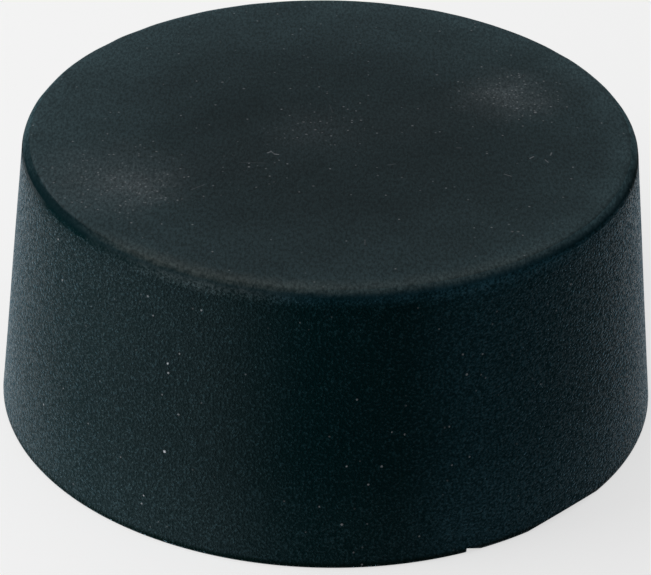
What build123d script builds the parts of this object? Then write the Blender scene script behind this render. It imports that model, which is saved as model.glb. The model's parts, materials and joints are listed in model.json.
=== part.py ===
from build123d import *

import os
from math import cos, radians, tan

# Rubber tip: a cap moulded in one piece, which slips over the end of a round tube. It stands on its open rim, with
# its closed tread face up. The origin is the middle of the base plane and +Z runs up the cap's axis.
# Lengths are in millimetres. Angles are in degrees, and azimuths run from the front (-Y) round towards +X.

# Socket for the tube
socket_diameter = 25.0  # the tube that it grips
socket_depth = 9.5  # base plane to closed end
socket_corner_radius = 1.0  # rounding round the closed end
mouth_chamfer = 0.5  # lead-in at the mouth

# Rubber round the socket
rim_width = 3.5  # wall at the base plane, from the socket out to the side
tread_thickness = 4.5  # from the socket's closed end up to the tread face
side_draft = 5.5  # the side leans in by this angle towards the tread face
tread_edge_radius = 0.55  # rounding between the side and the tread face
base_edge_radius = 0.2  # rounding between the side and the base plane

# Marks on the base edge, where the moulding's flash was trimmed off by hand
trim_flat_azimuths = ((34.0, 57.0), (57.0, 71.0))  # where each straight cut starts and ends
trim_lean = 45.0  # the cuts lean out from upright by this angle
nick_azimuth = 24.5  # steep end of the nick
nick_length = 0.8  # along the edge, from the steep end to where the nick runs out
nick_height = 0.22  # above the base plane, at the steep end
nick_reach = 0.4  # in across the rim from the base diameter

# Sizes that follow
socket_radius = socket_diameter / 2
base_radius = socket_radius + rim_width
height = socket_depth + tread_thickness
top_radius = base_radius - height * tan(radians(side_draft))


def round_corner(section, corner, radius):
    """Rounds the corner of a flat section that lies nearest to a point."""
    return fillet(section.vertices().sort_by_distance(corner)[0], radius)


def half_section():
    """The moulding's section from its axis outwards, with radius along X and height along Y."""
    socket_end = (socket_radius, socket_depth)
    base_edge = (base_radius, 0)
    tread_edge = (top_radius, height)
    outline = Polyline(
        (0, socket_depth),
        socket_end,
        (socket_radius, mouth_chamfer),
        (socket_radius + mouth_chamfer, 0),
        base_edge,
        tread_edge,
        (0, height),
        close=True,
    )
    section = make_face(outline)
    section = round_corner(section, socket_end, socket_corner_radius)
    section = round_corner(section, base_edge, base_edge_radius)
    return round_corner(section, tread_edge, tread_edge_radius)


def facing(azimuth):
    """Turns a shape made on the +X side round to an azimuth."""
    return Rot(Z=azimuth - 90)


def trim_cutter(start, end):
    """What a straight cut takes off the base edge: all that lies outside its chord and under its leaning face."""
    chord_radius = base_radius * cos(radians((end - start) / 2))
    block = Box(rim_width, 2 * base_radius, 2 * rim_width, align=(Align.MIN, Align.CENTER, Align.CENTER))
    return facing((start + end) / 2) * Pos(X=chord_radius) * Rot(Y=trim_lean) * block


def nick_cutter():
    """A wedge across the base edge, half of it under the base plane, highest at its steep end."""
    wedge = make_face(Polyline((0, -nick_height), (0, nick_height), (nick_length, 0), close=True))
    on_base_edge = Plane.YZ.offset(base_radius)
    return facing(nick_azimuth) * extrude(on_base_edge * wedge, nick_reach, both=True)


def rubber_tip():
    """The whole cap, with the marks cut into its base edge."""
    cap = revolve(Plane.XZ * half_section(), Axis.Z)
    for start, end in trim_flat_azimuths:
        cap -= trim_cutter(start, end)
    return cap - nick_cutter()


os.makedirs("parts", exist_ok=True)
export_step(rubber_tip(), "parts/rubber_tip.step")
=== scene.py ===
import json
from math import cos, degrees, radians, sin, tan

import bpy
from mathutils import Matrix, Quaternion, Vector, noise


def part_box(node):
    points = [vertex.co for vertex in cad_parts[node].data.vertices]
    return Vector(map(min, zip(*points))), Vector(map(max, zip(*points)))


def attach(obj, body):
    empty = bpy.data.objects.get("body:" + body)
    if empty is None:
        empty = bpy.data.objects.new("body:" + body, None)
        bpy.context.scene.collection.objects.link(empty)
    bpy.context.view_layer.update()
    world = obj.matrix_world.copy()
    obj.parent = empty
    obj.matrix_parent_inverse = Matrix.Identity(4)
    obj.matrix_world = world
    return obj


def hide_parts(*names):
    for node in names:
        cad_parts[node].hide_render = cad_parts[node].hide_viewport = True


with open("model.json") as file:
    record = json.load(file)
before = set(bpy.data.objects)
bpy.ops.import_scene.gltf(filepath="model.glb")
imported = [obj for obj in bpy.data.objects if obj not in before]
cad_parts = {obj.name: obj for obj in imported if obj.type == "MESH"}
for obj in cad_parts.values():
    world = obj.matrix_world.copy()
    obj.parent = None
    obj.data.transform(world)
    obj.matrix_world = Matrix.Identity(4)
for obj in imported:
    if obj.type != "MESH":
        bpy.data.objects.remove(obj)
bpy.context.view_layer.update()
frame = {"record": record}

# Lengths are in metres, but the places and spans of the finish are in millimetres, as its patterns read them.
# Angles are in degrees, and azimuths run from the front (-Y) round towards +X.
mm = 0.001

# The moulding's section, from the frame and with the CAD section's angle and roundings
side_draft = 5.5
tread_edge_radius = 0.55 * mm
base_edge_radius = 0.2 * mm
socket_corner_radius = 1.0 * mm
tip_low, tip_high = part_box("rubber_tip")
height = tip_high.z
base_inset = base_edge_radius * (1 / cos(radians(side_draft)) + tan(radians(side_draft)))
widest_radius = min(tip_high.x, tip_high.y, -tip_low.x, -tip_low.y)
base_radius = widest_radius - base_edge_radius + base_inset
socket = next(mount for mount in frame["record"]["mounts"] if mount["name"] == "socket")
socket_radius = socket["dims"]["r_mm"] * mm
socket_wall = socket["dims"]["length_mm"] * mm
mouth_chamfer = socket["pos_m"][2] - socket_wall / 2
socket_depth = mouth_chamfer + socket_wall + socket_corner_radius

# Marks on the base edge
trim_flat_azimuths = ((34.0, 57.0), (57.0, 71.0))
trim_lean = 45.0
nick_azimuth = 24.5
nick_length = 0.8 * mm
nick_height = 0.22 * mm
nick_reach = 0.4 * mm
nick_blend_height = 1.0 * mm

# Unevenness of the moulding
edge_wobble_share = 0.14
edge_wobble_pitch = 1.6 * mm
side_unevenness = 0.03 * mm
tread_unevenness = 0.03 * mm
unevenness_pitch = 5.0 * mm
side_onset_share = 1 / 3  # of the height, over which the side's unevenness sets in
tread_fade_power = 4  # how fast the tread's unevenness dies out down the side
tread_noise_offset = Vector((0, 0, 40))  # from where the side's unevenness reads the noise

# How finely the mesh is cut
even_columns = 480
nick_column_step = 0.1
nick_column_margin = 0.3
nick_end_turn = 0.01  # between the pair of columns at the nick's steep end
nick_wall_width = 0.01 * mm  # between the pair of rows at the nick's inner wall
tread_rings = 24
tread_edge_steps = 14
smooth_tread_edge_steps = (3, 10)  # where the smooth finish starts and ends on the tread's rounded edge
side_rows = 44
base_edge_steps = 6
smooth_base_edge_step = 2  # where the smooth finish starts on the rounded base edge
rim_rings = 5
wall_rows = 8
corner_steps = 6
socket_end_rings = 10
sharp_angle = 35.0

# The finish of each region, as its place in add_tip's list of finishes
finish_of_region = {
    "tread": 0,
    "tread_edge": 1,
    "shoulder": 2,
    "upper_side": 3,
    "side": 4,
    "base_edge": 1,
    "rim": 5,
    "wall": 5,
    "end": 5,
}

# Where the colours go on the piece's map, as shares of its side
map_margin_share = 0.006
side_map_shares = ((0.0, 0.75, 1.0, 1.0), (0.0, 0.5, 1.0, 0.75))
tread_map_shares = (0.0, 0.0, 0.5, 0.5)
underside_map_shares = (0.55, 0.1, 0.95, 0.5)
wall_map_shares = (0.5, 0.0, 1.0, 0.09)

# The photograph's frame, and the view of the tip in it
photo_width = 651
photo_height = 575
view_elevation = 30.69
view_roll = 1.05
view_distance = 10.5 * base_radius
nearest_seen = 10 * mm
pixels_per_base_radius = 328.6
tip_centre_pixel = (328.2, 259.9)

# The stage
floor_radius = 1.5
floor_sides = 96
floor_colour = (0.9, 0.9, 0.9, 1)
floor_roughness = 0.9
floor_white_share = 0.65
background_white = (0.97, 0.97, 0.97, 1)
tent_bright_side = (-0.87, 0.49, 0.0)
tent_bright_strength = 0.9
tent_dim_strength = 0.26
softbox_place = (-0.35, -0.03, 0.055)
softbox_width = 0.35
softbox_height = 0.11
softbox_power = 2.5

# The tread's level, and the radius at which the flat tread ends, as the finish reads them
tread_level = height / mm
rim_radius = (base_radius - height * tan(radians(side_draft)) - tread_edge_radius) / mm

# The rubber itself: a darker and a lighter black for each finish, its gloss and its grain
tread_blacks = ((0.001, 0.002, 0.002, 1), (0.003, 0.004, 0.004, 1))
edge_blacks = ((0.0002, 0.0032, 0.0042, 1), (0.0004, 0.0048, 0.0060, 1))
side_blacks = ((0.0001, 0.0037, 0.0044, 1), (0.0003, 0.0050, 0.0058, 1))
socket_blacks = ((0.001, 0.003, 0.0035, 1), (0.003, 0.006, 0.007, 1))
fleck_colour = (0.004, 0.0145, 0.018, 1)
# painted contact shadow: a dark line along the foot of the side, where the tip meets the floor
painted_base_shadow_colour = (0.0002, 0.0028, 0.0024, 1)
specular_tint = (0.2, 0.8, 0.85, 1)
sheen_tint = (0.4, 0.75, 0.98, 1)
smooth_sheen_roughness = 0.25
side_sheen_roughness = 0.17
tread_roughness = 0.68
edge_roughness = 0.6
socket_roughness = 0.6
side_roughnesses = (0.65, 0.15)  # in the hollows of the grain and on its tops
tread_grain_height = 0.015 * mm
edge_grain_height = 0.02 * mm
socket_grain_height = 0.02 * mm
side_grain_height = 0.105 * mm
side_grain_drop = (0.2, 0.55)  # below the tread, over which the side's grain sets in
grain_shrink = (1.0, 0.45, 1.0)  # along each axis, so that the grain runs longer from front to back

# Patterns, as the noise's scale to a millimetre, its detail and its roughness
smooth_grain = (8.0, 2.0, 0.75)
side_grain = (8.5, 1.5, 0.65)
black_pattern = (0.6, 3.0, 0.6)
cloud_pattern = (0.35, 2.0, 0.5)
socket_film_pattern = (0.4, 3.0, 0.6)
ragged_pattern = (2.5, 3.0, 0.7)
lip_dust_pattern = (1.5, 3.0, 0.6)
scuff_pattern = (0.5, 3.0, 0.6)
smudge_pattern = (0.5, 3.0, 0.6)

# Spans of a pattern's values, from its hollows to its tops
usual_values = (0.3, 0.7)
smudge_values = (0.25, 0.75)
gloss_values = (0.35, 0.65)
fleck_values = (0.5, 0.72)

# How strongly a pattern shows in each film
tread_speckle = 0.45
cloud_contrast = 0.12
smudge_speckle = 0.6
edge_speckle = 0.5
left_dust_and_light_speckle = 0.25
side_speckle = 0.7
socket_speckle = 0.45

# Colours of films and dust, also used for painted sheen and painted light from the floor
dust_and_sheen_colour = (0.284, 0.30, 0.319, 1)
bloom_and_light_colour = (0.175, 0.30, 0.34, 1)
haze_colour = (0.10, 0.30, 0.42, 1)
lip_dust_colour = (0.30, 0.26, 0.20, 1)
scuff_colour = (0.235, 0.295, 0.31, 1)

# Where films and dust lie. A span runs from where a change starts to where it is whole: along X or Y, in
# levels above the base, in drops below the tread, or past the tread's rim. Gains and shares belong to the two
# ends of the span before them.
level_raggedness = 0.09  # either way, of the level at which a film ends

# The film of bloom and painted sheen on the tread, with painted sheen towards its left and its back
tread_film_and_sheen_radii = (5.0, 14.0)
tread_film_and_sheen_shares = (0.042, 0.076)
tread_sheen_left_x = (-4.0, -13.0)
tread_sheen_left_shares = (0.0, 0.03)
tread_sheen_back_y = (2.0, 13.0)
tread_sheen_back_shares = (0.0, 0.02)
tread_film_and_sheen_past_rim = (0.45, 0.12)
tread_film_and_sheen_raggedness = 0.1
tread_film_and_sheen_short_x = (-3.0, -11.0)
tread_film_and_sheen_shortness = (0.0, 0.1)

# The pale film and painted sheen round the tread's rim, thinnest at the far left
rim_film_and_sheen_past_rim = (-1.6, 0.2)
rim_film_and_sheen_drop = (0.32, -0.02)
rim_film_and_sheen_left_x = (-12.8, -9.5)
rim_film_and_sheen_left_gains = (0.12, 0.42)
rim_film_and_sheen_right_x = (-6.0, 4.0)
rim_film_and_sheen_right_gains = (0.0, 0.58)
rim_film_and_sheen_far_right_x = (10.0, 13.5)
rim_film_and_sheen_far_right_gains = (0.0, 0.5)
rim_film_and_sheen_back_y = (-7.5, -1.0)
rim_film_and_sheen_back_gains = (0.0, 0.5)
rim_film_and_sheen_share_on_tread = 0.03
rim_film_and_sheen_share_on_edge = 0.135

# The film and painted sheen on the back of the rounded edge
back_film_and_sheen_y = (-3.5, 0.5)
back_film_and_sheen_drop = (1.0, 0.6)
back_film_and_sheen_x = (-6.0, 6.0)
back_film_and_sheen_shares = (0.1, 0.24)

# The brownish dust along the front of the tread's rim
lip_dust_wander = 0.4
lip_dust_past_rim = (-0.8, 0.1)
lip_dust_drop = (0.2, 0.06)
lip_dust_y = (-8.5, -12.0)
lip_dust_x = (2.0, -3.0)
lip_dust_x_gains = (0.6, 1.0)
lip_dust_share_on_tread = 0.045
lip_dust_share_on_edge = 0.04

# The scuffs lower on the front of the rounded edge
scuff_drop_from_below = (0.85, 0.35)
scuff_drop_from_above = (0.1, 0.3)
scuff_y = (-9.0, -12.5)
scuff_x = (0.5, -3.5)
scuff_x_gains = (0.65, 1.1)
scuff_pattern_gains = (0.4, 1.0)
scuff_tint_x = (0.0, -4.0)
scuff_share = 0.06

# Dust and painted light on the side towards the left; painted sheen at the far left and on its shoulder
left_dust_and_light_y = (-5.0, -10.0)
left_dust_and_light_x_from_left = (-14.5, -9.5)
left_dust_and_light_x_from_right = (0.0, -6.0)
left_dust_and_light_share = 0.018
left_dust_and_light_drop = (0.3, 0.9)
# painted sheen along the far left edge
far_left_sheen_x = (-10.5, -15.8)
far_left_sheen_shares = (0.0, 0.036)
# painted sheen on the shoulder at the far left
shoulder_sheen_x = (-12.8, -14.0)
shoulder_sheen_y = (-1.0, -3.0)
shoulder_sheen_drop_from_above = (0.22, 0.36)
shoulder_sheen_drop_from_below = (0.6, 0.44)
shoulder_sheen_share = 0.055

# The bluish film on the side towards the right
right_haze_x_from_left = (3.0, 7.0)
right_haze_x_from_right = (16.2, 13.5)
right_haze_y = (-2.0, -7.0)
right_haze_drop = (1.2, 0.55)
right_haze_shares = (0.025, 0.045)
right_haze_edge_drop = (0.45, 0.25)
right_haze_edge_gains = (1.0, 0.45)
# painted light from the floor: more haze towards the base
right_haze_floor_light_level = (6.0, 1.0)
right_haze_floor_light_gains = (1.0, 1.5)

# Painted light from the floor near the base, the painted contact shadow at the foot, and the socket's film
painted_floor_light_level = (6.0, 0.5)
painted_floor_light_shares = (0.0, 0.012)
painted_base_shadow_level = (0.45, 0.2)
socket_film_shares = (0.02, 0.06)

# Fine specks, scattered over cells. Reach is in cells, and density is the share of cells that hold a speck
speck_cells_to_mm = 5.0
speck_reach = (0.34, 0.1)
speck_shares = (0.08, 0.42)  # of dust, in the faintest and the clearest speck
side_speck_density = 0.014
socket_speck_density = 0.012

# Dust on the tread: a slanting band, and smudges with their place in X and Y, their radius and their density
dust_band_middle = (-0.3, -0.7)
dust_band_across = (-0.47, 0.88)
dust_band_distances = (3.5, 0.5)
dust_band_densities = (0.03, 0.09)
smudges = (
    ((-10.4, -4.6), 5.0, 0.6),
    ((-8.8, -5.5), 2.6, 0.7),
    ((8.6, 4.2), 3.4, 1.0),
    ((-1.0, 0.5), 3.2, 0.25),
)
smudge_wander = 1.6
smudge_core = -0.5  # the wandering distance at which a smudge is densest, which can be under zero
smudge_haze_share = 0.09

# Bits of lint on the tread: both ends in X and Y, and a share of dust
lint_radius = 0.06
tread_lint = (
    ((-2.95, -1.98), (-2.78, -1.84), 0.5),
    ((-2.78, -1.84), (-2.62, -2.09), 0.3),
    ((-2.62, -2.09), (-2.43, -2.12), 0.65),
    ((2.72, -2.95), (3.07, -2.84), 0.12),
    ((5.98, -1.15), (6.19, -1.15), 0.2),
    ((-0.08, 2.94), (0.09, 2.13), 0.08),
    ((-6.38, -5.62), (-5.8, -5.13), 0.12),
    ((10.4, -1.71), (10.46, -1.48), 0.4),
    ((10.13, -2.17), (10.26, -2.4), 0.35),
    ((9.42, -2.05), (9.59, -1.88), 0.5),
    ((8.16, -3.63), (8.46, -3.81), 0.25),
    ((1.64, -9.92), (1.64, -10.36), 0.15),
    ((-4.24, -2.94), (-3.07, -2.97), 0.08),
)

# Larger specks on the tread: a place in X and Y, a radius and a share of dust
speck_core_share = 0.4  # of the radius, inside which a larger speck is whole
tread_specks = (
    ((8.33, -8.95), 0.09, 0.2),
    ((8.6, -8.94), 0.09, 0.2),
    ((11.27, -3.94), 0.08, 0.25),
    ((3.36, -4.12), 0.07, 0.2),
    ((2.24, -3.97), 0.07, 0.2),
    ((-8.98, -8.77), 0.08, 0.3),
    ((-8.4, -2.54), 0.07, 0.2),
    ((-3.79, -3.36), 0.08, 0.45),
    ((-8.44, -6.91), 0.07, 0.25),
    ((3.91, 0.95), 0.08, 0.3),
    ((8.91, 8.51), 0.07, 0.25),
    ((9.49, 5.43), 0.08, 0.35),
    ((9.0, 2.92), 0.09, 0.35),
    ((9.86, 2.54), 0.1, 0.4),
    ((-0.5, 1.23), 0.08, 0.25),
    ((-1.3, 1.14), 0.09, 0.2),
    ((-0.73, 0.38), 0.09, 0.25),
    ((-1.15, -0.1), 0.09, 0.25),
    ((1.45, 1.41), 0.08, 0.25),
    ((5.18, 6.26), 0.09, 0.25),
    ((-5.33, 5.06), 0.09, 0.25),
    ((-4.26, 4.43), 0.09, 0.25),
    ((-5.58, 2.72), 0.08, 0.25),
    ((-0.75, -5.07), 0.08, 0.2),
)

# Larger specks on the side: an azimuth and a level, a radius and a share of dust
side_specks = (
    ((-28.07, 4.81), 0.09, 1.0),
    ((-58.22, 3.67), 0.07, 0.5),
    ((-28.26, 9.31), 0.07, 0.6),
    ((-28.04, 8.85), 0.07, 0.5),
    ((-32.99, 12.3), 0.08, 0.3),
    ((-31.75, 2.16), 0.06, 0.5),
    ((-25.7, 6.91), 0.07, 0.35),
    ((24.77, 9.28), 0.08, 0.4),
    ((24.04, 10.33), 0.07, 0.3),
    ((13.53, 6.78), 0.07, 0.25),
    ((3.05, 2.36), 0.08, 0.5),
    ((9.62, 5.26), 0.08, 0.4),
    ((48.19, 11.82), 0.07, 0.4),
)


def arc(centre, radius, start, end, steps):
    """Points round a centre, as (radius, height), from one angle to another."""
    angles = [radians(start + (end - start) * step / steps) for step in range(steps + 1)]
    return [(centre[0] + radius * cos(angle), centre[1] + radius * sin(angle)) for angle in angles]


def between(start, end, shares):
    """Points on the straight line from start to end."""
    return [tuple(a + (b - a) * share for a, b in zip(start, end)) for share in shares]


def section(edge_radius):
    """The half section as (region, radius, height) rows, from the tread's middle down the side and up the
    socket. A row's region is that of the faces that follow it."""
    lean = radians(side_draft)
    tread_centre_radius = base_radius - (edge_radius + (height - edge_radius) * sin(lean)) / cos(lean)
    tread_edge_centre = (tread_centre_radius, height - edge_radius)
    tread_edge = arc(tread_edge_centre, edge_radius, 90, side_draft, tread_edge_steps)
    base_edge_centre = (base_radius - base_inset, base_edge_radius)
    base_edge = arc(base_edge_centre, base_edge_radius, side_draft, -90, base_edge_steps)
    corner_centre = (socket_radius - socket_corner_radius, socket_depth - socket_corner_radius)
    corner = arc(corner_centre, socket_corner_radius, 0, 90, corner_steps)
    tread = between((0, height), tread_edge[0], [ring / tread_rings for ring in range(1, tread_rings)])
    finer_downwards = [1 - (1 - row / side_rows) ** 2 for row in range(1, side_rows)]
    side = between(tread_edge[-1], base_edge[0], finer_downwards)
    nick_wall = [(base_radius - nick_reach + nick_wall_width, 0), (base_radius - nick_reach, 0)]
    mouth = (socket_radius + mouth_chamfer, 0)
    rim = between(nick_wall[-1], mouth, [ring / rim_rings for ring in range(1, rim_rings + 1)])
    wall = between((socket_radius, mouth_chamfer), corner[0], [row / wall_rows for row in range(wall_rows)])
    inwards = [ring / socket_end_rings for ring in range(1, socket_end_rings)]
    end = between(corner[-1], (0, socket_depth), inwards)
    smooth_start, smooth_end = smooth_tread_edge_steps
    regions = (
        ("tread", tread + tread_edge[:smooth_start]),
        ("tread_edge", tread_edge[smooth_start:smooth_end]),
        ("shoulder", tread_edge[smooth_end:-1]),
        ("upper_side", tread_edge[-1:]),
        ("side", side + base_edge[:smooth_base_edge_step]),
        ("base_edge", base_edge[smooth_base_edge_step:-1]),
        ("rim", base_edge[-1:] + nick_wall + rim[:-1]),
        ("wall", rim[-1:] + wall + corner[: corner_steps // 2]),
        ("end", corner[corner_steps // 2 :] + end),
    )
    return [(region, radius, level) for region, rows in regions for radius, level in rows]


def column_azimuths():
    """Even columns round the tip, with finer ones at the nick and a pair of them at its steep end."""
    nick_end = nick_azimuth + degrees(nick_length / base_radius)
    fine_start = nick_azimuth - nick_column_margin
    fine_end = nick_end + nick_column_margin
    even = [-180 + 360 * column / even_columns for column in range(even_columns)]
    fine_count = round((fine_end - fine_start) / nick_column_step)
    fine = [fine_start + nick_column_step * column for column in range(fine_count + 1)]
    coarse = [azimuth for azimuth in even if not fine_start <= azimuth <= fine_end]
    return sorted(coarse + fine + [nick_azimuth - nick_end_turn])


def trimmed(radius, level, azimuth):
    """A point's radius once the straight cuts are made in the base edge."""
    for start, end in trim_flat_azimuths:
        half_span = (end - start) / 2
        turn = azimuth - (start + end) / 2
        if abs(turn) <= half_span:
            chord_radius = base_radius * cos(radians(half_span))
            radius = min(radius, (chord_radius + level * tan(radians(trim_lean))) / cos(radians(turn)))
    return radius


def nicked(radius, level, azimuth):
    """A point's height once the nick is cut in the base edge."""
    along_edge = base_radius * radians(azimuth - nick_azimuth)
    beside_nick = not 0 <= along_edge <= nick_length
    if beside_nick or radius <= base_radius - nick_reach or level >= nick_blend_height:
        return level
    lift = nick_height * (1 - along_edge / nick_length)
    return lift + level * (1 - lift / nick_blend_height)


def outwards(azimuth):
    """The level direction from the axis towards an azimuth."""
    return Vector((sin(radians(azimuth)), -cos(radians(azimuth)), 0))


def uneven(radius, level, azimuth):
    """A point of the outside, let in a little where the moulding shrank unevenly. The base edge keeps its
    place."""
    place = (outwards(azimuth) * radius + Vector((0, 0, level))) / unevenness_pitch
    share = level / height
    side_noise = (1 + noise.noise(place)) / 2
    tread_noise = (1 + noise.noise(place + tread_noise_offset)) / 2
    side_inset = side_unevenness * side_noise * min(1, share / side_onset_share)
    tread_inset = tread_unevenness * tread_noise * share**tread_fade_power
    return radius - side_inset, level - tread_inset


def tip_vertices(azimuths):
    """One column of points for each azimuth, and the region of each row."""
    columns = []
    for azimuth in azimuths:
        direction = outwards(azimuth)
        wobble = noise.noise(direction * base_radius / edge_wobble_pitch)
        rows = section(tread_edge_radius * (1 + edge_wobble_share * wobble))
        points = []
        for region, radius, level in rows:
            if region not in ("rim", "wall", "end"):
                radius, level = uneven(radius, level, azimuth)
            if region in ("side", "base_edge", "rim"):
                radius = trimmed(radius, level, azimuth)
                level = nicked(radius, level, azimuth)
            points.append(direction * radius + Vector((0, 0, level)))
        columns.append(points)
    return columns, [region for region, radius, level in rows]


def on_map(shares, across, up):
    """A place on the map, from shares across and up one of its fields."""
    left, low, right, high = shares
    margin = map_margin_share
    return (
        left + margin + (right - left - 2 * margin) * across,
        low + margin + (high - low - 2 * margin) * up,
    )


def map_place(region, point, azimuth, front):
    """Where a corner of a face goes on the map."""
    if region in ("shoulder", "upper_side", "side", "base_edge"):
        across = (azimuth + 90) / 180 if front else ((azimuth + 270) % 360) / 180
        return on_map(side_map_shares[0 if front else 1], across, point.z / height)
    if region == "wall":
        return on_map(wall_map_shares, (azimuth + 180) / 360, point.z / socket_depth)
    shares = tread_map_shares if region in ("tread", "tread_edge") else underside_map_shares
    return on_map(shares, 0.5 + point.x / (2 * base_radius), 0.5 + point.y / (2 * base_radius))


def tip_mesh():
    """The whole tip as one closed skin of square faces, with a fan at each end of its axis."""
    azimuths = column_azimuths()
    columns, regions = tip_vertices(azimuths)
    rows = len(regions)
    count = len(columns)
    points = [point for column in columns for point in column]
    tread_middle = len(points)
    socket_middle = tread_middle + 1
    points += [Vector((0, 0, min(column[0].z for column in columns))), Vector((0, 0, socket_depth))]
    faces = []
    places = []
    finishes = []
    for column in range(count):
        after = (column + 1) % count
        here = azimuths[column]
        there = azimuths[after] + (360 if after == 0 else 0)
        front = -90 <= (here + there) / 2 <= 90
        corners = [(tread_middle, here), (column * rows, here), (after * rows, there)]
        skin = [(regions[0], corners)]
        for row in range(rows - 1):
            left = column * rows + row
            right = after * rows + row
            corners = [(left, here), (left + 1, here), (right + 1, there), (right, there)]
            skin.append((regions[row], corners))
        corners = [(column * rows + rows - 1, here), (socket_middle, here), (after * rows + rows - 1, there)]
        skin.append((regions[-1], corners))
        for region, corners in skin:
            faces.append([corner for corner, azimuth in corners])
            finishes.append(finish_of_region[region])
            places += [map_place(region, points[corner], azimuth, front) for corner, azimuth in corners]
    mesh = bpy.data.meshes.new("moulded_tip")
    mesh.from_pydata(points, [], faces)
    colour_map = mesh.uv_layers.new(name="OFBake")
    colour_map.uv.foreach_set("vector", [share for place in places for share in place])
    mesh.polygons.foreach_set("material_index", finishes)
    mesh.shade_smooth()
    mesh.set_sharp_from_angle(angle=radians(sharp_angle))
    return mesh


class Shading:
    """Adds nodes to a material or a world. Each call gives the socket that the next call reads."""

    def __init__(self, owner, shader_name="Principled BSDF"):
        owner.use_nodes = True
        self.owner = owner
        self.tree = owner.node_tree
        self.shader = self.tree.nodes[shader_name]

    def put(self, node, key, value):
        """Links a socket to a node's input, or sets the input to a plain value."""
        if isinstance(value, bpy.types.NodeSocket):
            self.tree.links.new(value, node.inputs[key])
        else:
            node.inputs[key].default_value = value

    def set(self, inputs):
        """Puts values into the shader itself."""
        for key, value in inputs.items():
            self.put(self.shader, key, value)

    def add(self, kind, inputs=(), output=0, **settings):
        """A new node, with its settings made before its inputs."""
        node = self.tree.nodes.new(kind)
        for name, value in settings.items():
            setattr(node, name, value)
        for key, value in dict(inputs).items():
            self.put(node, key, value)
        return node.outputs[output]

    def math(self, operation, *values):
        """One operation on numbers."""
        return self.add("ShaderNodeMath", enumerate(values), operation=operation)

    def product(self, *values):
        """All the values multiplied together."""
        total = values[0]
        for value in values[1:]:
            total = self.math("MULTIPLY", total, value)
        return total

    def vector(self, operation, *values):
        """One operation on vectors, which gives a number or a vector."""
        output = "Value" if operation in ("LENGTH", "DISTANCE", "DOT_PRODUCT") else "Vector"
        return self.add("ShaderNodeVectorMath", enumerate(values), output, operation=operation)

    def scaled(self, vector, factor):
        """A vector times a number."""
        return self.add("ShaderNodeVectorMath", {"Vector": vector, "Scale": factor}, operation="SCALE")

    def ramp(self, value, span, gains=(0.0, 1.0)):
        """A smooth change from one gain to the other as a value crosses a span."""
        ends = {"From Min": span[0], "From Max": span[1], "To Min": gains[0], "To Max": gains[1]}
        return self.add("ShaderNodeMapRange", {"Value": value, **ends}, interpolation_type="SMOOTHSTEP")

    def noise(self, place, pattern, ends=(0.0, 1.0)):
        """A pattern's noise, stretched between two ends."""
        scale, detail, roughness = pattern
        inputs = {"Vector": place, "Scale": scale, "Detail": detail, "Roughness": roughness}
        share = self.add("ShaderNodeTexNoise", inputs, "Fac")
        return self.math("MULTIPLY_ADD", share, ends[1] - ends[0], ends[0])

    def mix(self, share, first, second):
        """A colour with a share of a second one over it."""
        inputs = {"Factor": share, "A": first, "B": second}
        return self.add("ShaderNodeMix", inputs, "Result", data_type="RGBA")


def rubber_shading(name, specular, sheen, sheen_roughness=smooth_sheen_roughness):
    """A material of the same black rubber, and the place that its patterns read, in millimetres."""
    shading = Shading(bpy.data.materials.new(name))
    gloss = {
        "Specular IOR Level": specular,
        "Specular Tint": specular_tint,
        "Sheen Weight": sheen,
        "Sheen Roughness": sheen_roughness,
        "Sheen Tint": sheen_tint,
    }
    shading.set(gloss)
    return shading, shading.scaled(shading.add("ShaderNodeTexCoord", output="Object"), 1 / mm)


def grain(shading, place, pattern):
    """Height of the moulded grain, which runs longer from front to back."""
    return shading.noise(shading.vector("MULTIPLY", place, grain_shrink), pattern)


def grain_bump(shading, relief, grain_height):
    """The surface's tilt over a relief."""
    return shading.add("ShaderNodeBump", {"Height": relief, "Distance": grain_height})


def black(shading, place, blacks):
    """The rubber's own colour, a little uneven."""
    return shading.mix(shading.noise(place, black_pattern), *blacks)


def varied(shading, pattern, contrast, values=usual_values):
    """A factor about 1 that follows a pattern."""
    return shading.ramp(pattern, values, (1 - contrast, 1 + contrast))


def wander(shading, place, pattern, most):
    """A length that wanders either way with a pattern."""
    return shading.noise(place, pattern, (-most, most))


def part_of(shading, place, axis):
    """One coordinate of a place."""
    return shading.add("ShaderNodeSeparateXYZ", {"Vector": place}, axis)


def from_axis(shading, place):
    """How far a place lies from the tip's axis."""
    return shading.vector("LENGTH", shading.vector("MULTIPLY", place, (1, 1, 0)))


def ragged_level(shading, place):
    """Height of a place, with raggedness for what ends there."""
    raggedness = wander(shading, place, ragged_pattern, level_raggedness)
    return shading.math("ADD", part_of(shading, place, "Z"), raggedness)


def along(shading, place, axis, span, gains=(0.0, 1.0)):
    """A factor that changes over a span of one axis."""
    return shading.ramp(part_of(shading, place, axis), span, gains)


def below_tread(shading, level, drops, gains=(0.0, 1.0)):
    """A factor that changes over a span of drops below the tread."""
    return shading.ramp(level, [tread_level - drop for drop in drops], gains)


def past_rim(shading, radius, span):
    """A factor that changes over a span of radii, counted from the tread's rim."""
    return shading.ramp(radius, [rim_radius + step for step in span])


def on_tread(spot):
    """The place of a spot on the tread that is given in X and Y."""
    return (*spot, tread_level)


def on_side(spot):
    """The place of a spot on the side that is given by its azimuth and level."""
    azimuth, level = spot
    radius = base_radius / mm - level * tan(radians(side_draft))
    return (*(outwards(azimuth) * radius).xy, level)


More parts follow.
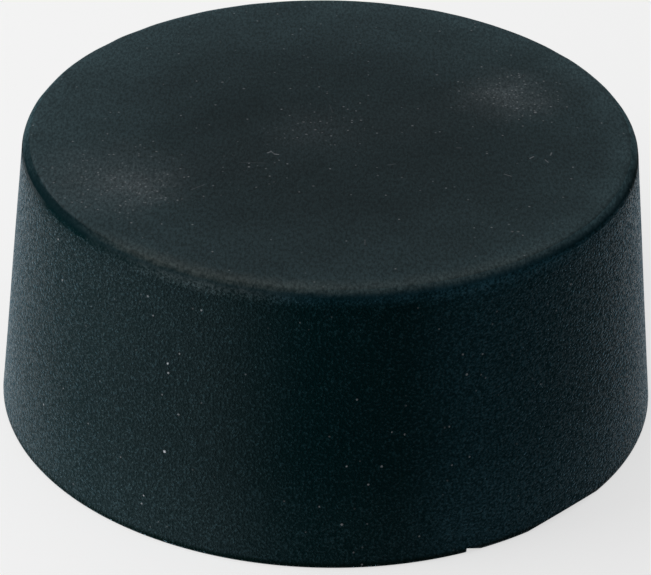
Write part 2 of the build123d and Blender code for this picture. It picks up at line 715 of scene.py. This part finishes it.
def scattered_specks(shading, place, density):
    """Share of dust in fine specks, found in a given share of the cells that they are scattered over."""
    distance = shading.add("ShaderNodeTexVoronoi", {"Vector": place, "Scale": speck_cells_to_mm}, "Distance")
    chance = shading.add("ShaderNodeSeparateColor", {"Color": distance.node.outputs["Color"]})
    found = shading.math("LESS_THAN", chance, density)
    thickness = shading.ramp(chance.node.outputs["Green"], (0.0, 1.0), speck_shares)
    return shading.product(found, shading.ramp(distance, speck_reach), thickness)


def marked_specks(shading, place, specks, on_surface):
    """Share of dust in specks at given spots of a surface."""
    total = 0.0
    for spot, radius, share in specks:
        distance = shading.vector("DISTANCE", place, on_surface(spot))
        speck = shading.ramp(distance, (radius, speck_core_share * radius), (0.0, share))
        total = shading.math("MAXIMUM", total, speck)
    return total


def marked_lint(shading, place, threads):
    """Share of dust in short straight bits of lint on the tread."""
    total = 0.0
    for start, end, share in threads:
        length = Vector(on_tread(end)) - Vector(on_tread(start))
        offset = shading.vector("SUBTRACT", place, on_tread(start))
        reach = shading.vector("DOT_PRODUCT", offset, length / length.length_squared)
        reach = shading.math("MINIMUM", shading.math("MAXIMUM", reach, 0.0), 1.0)
        distance = shading.vector("DISTANCE", offset, shading.scaled(length, reach))
        thread = shading.ramp(distance, (lint_radius, 0.0), (0.0, share))
        total = shading.math("MAXIMUM", total, thread)
    return total


def lip_dust(shading, place):
    """Share of the brownish dust along the front of the tread's rim, where the edge is scuffed."""
    uneven_reach = wander(shading, place, lip_dust_pattern, lip_dust_wander)
    radius = shading.math("ADD", from_axis(shading, place), uneven_reach)
    near_rim = past_rim(shading, radius, lip_dust_past_rim)
    on_top = below_tread(shading, ragged_level(shading, place), lip_dust_drop)
    in_front = along(shading, place, "Y", lip_dust_y)
    at_left = along(shading, place, "X", lip_dust_x, lip_dust_x_gains)
    return shading.product(near_rim, on_top, in_front, at_left)


def rim_film_and_sheen(shading, place):
    """Share of the pale film and painted sheen round the tread's rim, which thin out down the rounded edge
    and at the left.
    """
    near_rim = past_rim(shading, from_axis(shading, place), rim_film_and_sheen_past_rim)
    downwards = below_tread(shading, ragged_level(shading, place), rim_film_and_sheen_drop)
    # Painted sheen: thinnest at the far left, where the lamp's light falls, thicker towards the right
    at_left = along(shading, place, "X", rim_film_and_sheen_left_x, rim_film_and_sheen_left_gains)
    at_right = along(shading, place, "X", rim_film_and_sheen_right_x, rim_film_and_sheen_right_gains)
    far_right = along(shading, place, "X", rim_film_and_sheen_far_right_x, rim_film_and_sheen_far_right_gains)
    in_front = shading.math("ADD", at_left, shading.math("ADD", at_right, far_right))
    at_back = along(shading, place, "Y", rim_film_and_sheen_back_y, rim_film_and_sheen_back_gains)
    return shading.product(near_rim, downwards, shading.math("MAXIMUM", in_front, at_back))


def back_film_and_sheen(shading, place):
    """Share of the film and painted sheen that cover the whole of the rounded edge at the back, most of it
    at the right.
    """
    at_back = along(shading, place, "Y", back_film_and_sheen_y)
    at_right = along(shading, place, "X", back_film_and_sheen_x, back_film_and_sheen_shares)
    at_top = below_tread(shading, part_of(shading, place, "Z"), back_film_and_sheen_drop)
    return shading.product(at_back, at_right, at_top)


def scuffs(shading, place):
    """Share of the broken dust lower on the front of the rounded edge."""
    level = ragged_level(shading, place)
    from_below = below_tread(shading, level, scuff_drop_from_below)
    from_above = below_tread(shading, level, scuff_drop_from_above)
    in_front = along(shading, place, "Y", scuff_y)
    at_left = along(shading, place, "X", scuff_x, scuff_x_gains)
    broken = shading.ramp(shading.noise(place, scuff_pattern), usual_values, scuff_pattern_gains)
    return shading.product(from_below, from_above, in_front, at_left, broken)


def scuff_tint(shading, place):
    """Colour of the scuffs: bluish in the middle of the front and greyer at the left."""
    return shading.mix(along(shading, place, "X", scuff_tint_x), haze_colour, scuff_colour)


def left_dust_and_light(shading, place):
    """Share of dust and painted light on the side towards the left, and of painted sheen along the far left
    edge. Both stop under the rounded edge.
    """
    in_front = along(shading, place, "Y", left_dust_and_light_y)
    from_left = along(shading, place, "X", left_dust_and_light_x_from_left)
    from_right = along(shading, place, "X", left_dust_and_light_x_from_right)
    at_left = shading.product(in_front, from_left, from_right, left_dust_and_light_share)
    far_left_sheen = along(shading, place, "X", far_left_sheen_x, far_left_sheen_shares)
    under_edge = below_tread(shading, part_of(shading, place, "Z"), left_dust_and_light_drop)
    return shading.product(shading.math("ADD", at_left, far_left_sheen), under_edge)


def shoulder_sheen(shading, place):
    """Share of painted sheen on the shoulder at the far left."""
    at_left = along(shading, place, "X", shoulder_sheen_x)
    in_front = along(shading, place, "Y", shoulder_sheen_y)
    level = part_of(shading, place, "Z")
    from_above = below_tread(shading, level, shoulder_sheen_drop_from_above)
    from_below = below_tread(shading, level, shoulder_sheen_drop_from_below)
    return shading.product(at_left, in_front, from_above, from_below, shoulder_sheen_share)


def right_haze(shading, place):
    """Share of the bluish film on the front of the side towards the right, most of it under the rounded
    edge, with more towards the base as painted light from the floor."""
    from_left = along(shading, place, "X", right_haze_x_from_left)
    from_right = along(shading, place, "X", right_haze_x_from_right)
    in_front = along(shading, place, "Y", right_haze_y)
    level = ragged_level(shading, place)
    under_edge = below_tread(shading, level, right_haze_drop, right_haze_shares)
    on_edge = below_tread(shading, level, right_haze_edge_drop, right_haze_edge_gains)
    painted_floor_light = shading.ramp(level, right_haze_floor_light_level, right_haze_floor_light_gains)
    return shading.product(from_left, from_right, in_front, under_edge, on_edge, painted_floor_light)


def smudge_dust(shading, place):
    """Density of the dust on the tread: a thin scatter, more of it along a slanting band, and most in the
    smudges."""
    from_middle = shading.vector("SUBTRACT", place, on_tread(dust_band_middle))
    off_band = shading.vector("DOT_PRODUCT", from_middle, (*dust_band_across, 0))
    total = shading.ramp(shading.math("ABSOLUTE", off_band), dust_band_distances, dust_band_densities)
    uneven_reach = wander(shading, place, smudge_pattern, smudge_wander)
    for spot, radius, density in smudges:
        from_spot = shading.vector("DISTANCE", place, on_tread(spot))
        distance = shading.math("ADD", from_spot, uneven_reach)
        total = shading.math("ADD", total, shading.ramp(distance, (radius, smudge_core), (0.0, density)))
    return total


def tread_film_and_sheen(shading, place):
    """Share of the film of bloom and painted sheen on the tread, which thickens towards its rim, with
    painted sheen towards its left and its back.
    """
    radius = from_axis(shading, place)
    film = shading.ramp(radius, tread_film_and_sheen_radii, tread_film_and_sheen_shares)
    # Painted sheen: lighter towards the left, where the lamp's light falls, and towards the back
    painted_sheen_leftwards = along(shading, place, "X", tread_sheen_left_x, tread_sheen_left_shares)
    painted_sheen_backwards = along(shading, place, "Y", tread_sheen_back_y, tread_sheen_back_shares)
    at_rim = shading.product(rim_film_and_sheen(shading, place), rim_film_and_sheen_share_on_tread)
    for more in (painted_sheen_leftwards, painted_sheen_backwards, at_rim):
        film = shading.math("ADD", film, more)
    raggedness = wander(shading, place, ragged_pattern, tread_film_and_sheen_raggedness)
    shorter = along(shading, place, "X", tread_film_and_sheen_short_x, tread_film_and_sheen_shortness)
    reach = shading.math("ADD", radius, shading.math("ADD", raggedness, shorter))
    return shading.product(film, past_rim(shading, reach, tread_film_and_sheen_past_rim))


def tread_rubber():
    """The flat tread face: matte, almost without grain, with a film of bloom and painted sheen towards its
    rim, painted sheen towards its left and back, and the most dust."""
    shading, place = rubber_shading("tread_rubber", specular=0.04, sheen=0.12)
    fine = grain(shading, place, smooth_grain)
    speckle = varied(shading, fine, tread_speckle)
    cloud = varied(shading, shading.noise(place, cloud_pattern), cloud_contrast)
    colour = black(shading, place, tread_blacks)
    film = shading.product(tread_film_and_sheen(shading, place), speckle, cloud)
    colour = shading.mix(film, colour, bloom_and_light_colour)
    density = smudge_dust(shading, place)
    smudge_grain = varied(shading, fine, smudge_speckle, smudge_values)
    haze = shading.product(density, smudge_grain, smudge_haze_share)
    colour = shading.mix(haze, colour, dust_and_sheen_colour)
    colour = shading.mix(scattered_specks(shading, place, density), colour, dust_and_sheen_colour)
    lip = shading.product(lip_dust(shading, place), speckle, lip_dust_share_on_tread)
    colour = shading.mix(lip, colour, lip_dust_colour)
    lint = marked_lint(shading, place, tread_lint)
    specks = marked_specks(shading, place, tread_specks, on_tread)
    colour = shading.mix(shading.math("MAXIMUM", lint, specks), colour, dust_and_sheen_colour)
    tilt = grain_bump(shading, fine, tread_grain_height)
    shading.set({"Base Color": colour, "Roughness": tread_roughness, "Normal": tilt})
    return shading.owner


def edge_rubber():
    """The rounded edges, smooth and dark, with the tread's film, painted sheen and dust on their upper part.
    """
    shading, place = rubber_shading("edge_rubber", specular=0.004, sheen=0.03)
    fine = grain(shading, place, smooth_grain)
    speckle = varied(shading, fine, edge_speckle)
    colour = black(shading, place, edge_blacks)
    film = shading.product(rim_film_and_sheen(shading, place), rim_film_and_sheen_share_on_edge)
    for other in (tread_film_and_sheen(shading, place), back_film_and_sheen(shading, place)):
        film = shading.math("MAXIMUM", film, other)
    colour = shading.mix(shading.product(film, speckle), colour, bloom_and_light_colour)
    lip = shading.product(lip_dust(shading, place), speckle, lip_dust_share_on_edge)
    colour = shading.mix(lip, colour, lip_dust_colour)
    scuffed = shading.product(scuffs(shading, place), speckle, scuff_share)
    colour = shading.mix(scuffed, colour, scuff_tint(shading, place))
    colour = shading.mix(right_haze(shading, place), colour, haze_colour)
    tilt = grain_bump(shading, fine, edge_grain_height)
    shading.set({"Base Color": colour, "Roughness": edge_roughness, "Normal": tilt})
    return shading.owner


def side_rubber(name, specular, sheen):
    """The side and the shoulder above it, with the mould's fine grain."""
    shading, place = rubber_shading(name, specular, sheen, side_sheen_roughness)
    fine = grain(shading, place, side_grain)
    faint_speckle = varied(shading, fine, left_dust_and_light_speckle)
    speckle = varied(shading, fine, side_speckle)
    under_tread = below_tread(shading, part_of(shading, place, "Z"), side_grain_drop)
    colour = black(shading, place, side_blacks)
    flecks = shading.product(shading.ramp(fine, fleck_values), under_tread)
    colour = shading.mix(flecks, colour, fleck_colour)
    # Dust and painted light towards the left, with painted sheen along the far left edge and on its shoulder
    at_left = shading.math("ADD", left_dust_and_light(shading, place), shoulder_sheen(shading, place))
    colour = shading.mix(shading.product(at_left, faint_speckle), colour, dust_and_sheen_colour)
    # Painted light from the floor: a pale bluish tint that grows towards the base
    painted_floor_light = along(shading, place, "Z", painted_floor_light_level, painted_floor_light_shares)
    colour = shading.mix(shading.product(painted_floor_light, speckle), colour, bloom_and_light_colour)
    scuffed = shading.product(scuffs(shading, place), speckle, scuff_share)
    colour = shading.mix(scuffed, colour, scuff_tint(shading, place))
    haze = shading.product(right_haze(shading, place), speckle)
    colour = shading.mix(haze, colour, haze_colour)
    # Painted contact shadow: a dark line along the foot of the side
    painted_base_shadow = shading.ramp(ragged_level(shading, place), painted_base_shadow_level)
    colour = shading.mix(painted_base_shadow, colour, painted_base_shadow_colour)
    colour = shading.mix(scattered_specks(shading, place, side_speck_density), colour, dust_and_sheen_colour)
    colour = shading.mix(marked_specks(shading, place, side_specks, on_side), colour, dust_and_sheen_colour)
    roughness = shading.ramp(fine, gloss_values, side_roughnesses)
    tilt = grain_bump(shading, shading.product(fine, under_tread), side_grain_height)
    shading.set({"Base Color": colour, "Roughness": roughness, "Normal": tilt})
    return shading.owner


def socket_rubber():
    """The rim and the socket, with a thin uneven film of bloom and a little dust."""
    shading, place = rubber_shading("socket_rubber", specular=0.04, sheen=0.1)
    fine = shading.noise(place, smooth_grain)
    speckle = varied(shading, fine, socket_speckle)
    colour = black(shading, place, socket_blacks)
    film = shading.ramp(shading.noise(place, socket_film_pattern), usual_values, socket_film_shares)
    colour = shading.mix(shading.product(film, speckle), colour, bloom_and_light_colour)
    colour = shading.mix(scattered_specks(shading, place, socket_speck_density), colour, dust_and_sheen_colour)
    tilt = grain_bump(shading, fine, socket_grain_height)
    shading.set({"Base Color": colour, "Roughness": socket_roughness, "Normal": tilt})
    return shading.owner


def add_tip():
    """The tip's visible skin, in place of the CAD solid."""
    tip = bpy.data.objects.new("moulded_tip", tip_mesh())
    bpy.context.scene.collection.objects.link(tip)
    finishes = (
        tread_rubber(),
        edge_rubber(),
        side_rubber("shoulder_rubber", specular=0.003, sheen=0.11),
        side_rubber("upper_side_rubber", specular=0.011, sheen=0.42),
        side_rubber("side_rubber", specular=0.016, sheen=0.57),
        socket_rubber(),
    )
    for finish in finishes:
        tip.data.materials.append(finish)
    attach(tip, "root")
    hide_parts("rubber_tip")


def seen_directly(shading):
    """1 for the rays that see the background from the camera, in a reflection or through glass, or else 0."""
    share = shading.add("ShaderNodeLightPath", output="Is Camera Ray")
    path = share.node
    for kind in ("Is Glossy Ray", "Is Transmission Ray"):
        share = shading.math("MAXIMUM", share, path.outputs[kind])
    return share


def add_floor():
    """A plain pale disc under the tip, which looks white and keeps the tip's shadow."""
    mesh = bpy.data.meshes.new("floor")
    turns = [radians(360 * side / floor_sides) for side in range(floor_sides)]
    outline = [(floor_radius * cos(turn), floor_radius * sin(turn), 0) for turn in turns]
    mesh.from_pydata(outline, [], [range(floor_sides)])
    floor = bpy.data.objects.new("floor", mesh)
    bpy.context.scene.collection.objects.link(floor)
    shading = Shading(bpy.data.materials.new("pale_floor"))
    shading.set({"Base Color": floor_colour, "Roughness": floor_roughness, "Specular IOR Level": 0.0})
    white = shading.add("ShaderNodeEmission", {"Color": background_white, "Strength": 1.0})
    white_share = shading.product(seen_directly(shading), floor_white_share)
    surface = shading.add("ShaderNodeMixShader", {0: white_share, 1: shading.shader.outputs[0], 2: white})
    shading.put(shading.tree.nodes["Material Output"], "Surface", surface)
    mesh.materials.append(shading.owner)


def add_tent():
    """A pale world all round, brightest behind the tip at the left, which looks white."""
    world = bpy.data.worlds.new("tent")
    bpy.context.scene.world = world
    shading = Shading(world, "Background")
    direction = shading.add("ShaderNodeTexCoord", output="Generated")
    side = shading.vector("DOT_PRODUCT", direction, tent_bright_side)
    dim_to_bright = {"From Min": -1.0, "To Min": tent_dim_strength, "To Max": tent_bright_strength}
    light = shading.add("ShaderNodeMapRange", {"Value": side, **dim_to_bright})
    light_to_white = {"To Min": light, "To Max": 1.0}
    strength = shading.add("ShaderNodeMapRange", {"Value": seen_directly(shading), **light_to_white})
    shading.set({"Color": background_white, "Strength": strength})


def add_softbox():
    """A wide lamp at the left that faces the tip."""
    lamp = bpy.data.lights.new("softbox", "AREA")
    lamp.shape = "RECTANGLE"
    lamp.size = softbox_width
    lamp.size_y = softbox_height
    lamp.energy = softbox_power
    softbox = bpy.data.objects.new("softbox", lamp)
    softbox.location = softbox_place
    towards_tip = Vector((0, 0, height / 2)) - softbox.location
    softbox.rotation_euler = towards_tip.to_track_quat("-Z", "Y").to_euler()
    softbox.visible_camera = False
    bpy.context.scene.collection.objects.link(softbox)


def add_camera():
    """The photograph's view: the tip's centre falls on its pixel, with the photograph's slight roll."""
    lens = bpy.data.cameras.new("camera")
    pixels_to_tip = pixels_per_base_radius * view_distance / base_radius
    lens.lens = pixels_to_tip * lens.sensor_width / photo_width
    lens.clip_start = nearest_seen
    camera = bpy.data.objects.new("camera", lens)
    bpy.context.scene.collection.objects.link(camera)
    elevation = radians(view_elevation)
    back = Vector((0, -cos(elevation), sin(elevation)))
    camera.location = Vector((0, 0, height / 2)) + view_distance * back
    right = tip_centre_pixel[0] - photo_width / 2
    up = photo_height / 2 - tip_centre_pixel[1]
    towards_tip = Vector((right, up, -pixels_to_tip))
    aim = Vector((0, 0, -1)).rotation_difference(towards_tip)
    roll = Quaternion((0, 0, 1), radians(view_roll))
    camera.rotation_mode = "QUATERNION"
    camera.rotation_quaternion = (-back).to_track_quat("-Z", "Y") @ roll @ aim.inverted()
    bpy.context.scene.camera = camera


add_tip()
add_floor()
add_tent()
add_softbox()
add_camera()
bpy.context.scene.view_settings.view_transform = "Standard"
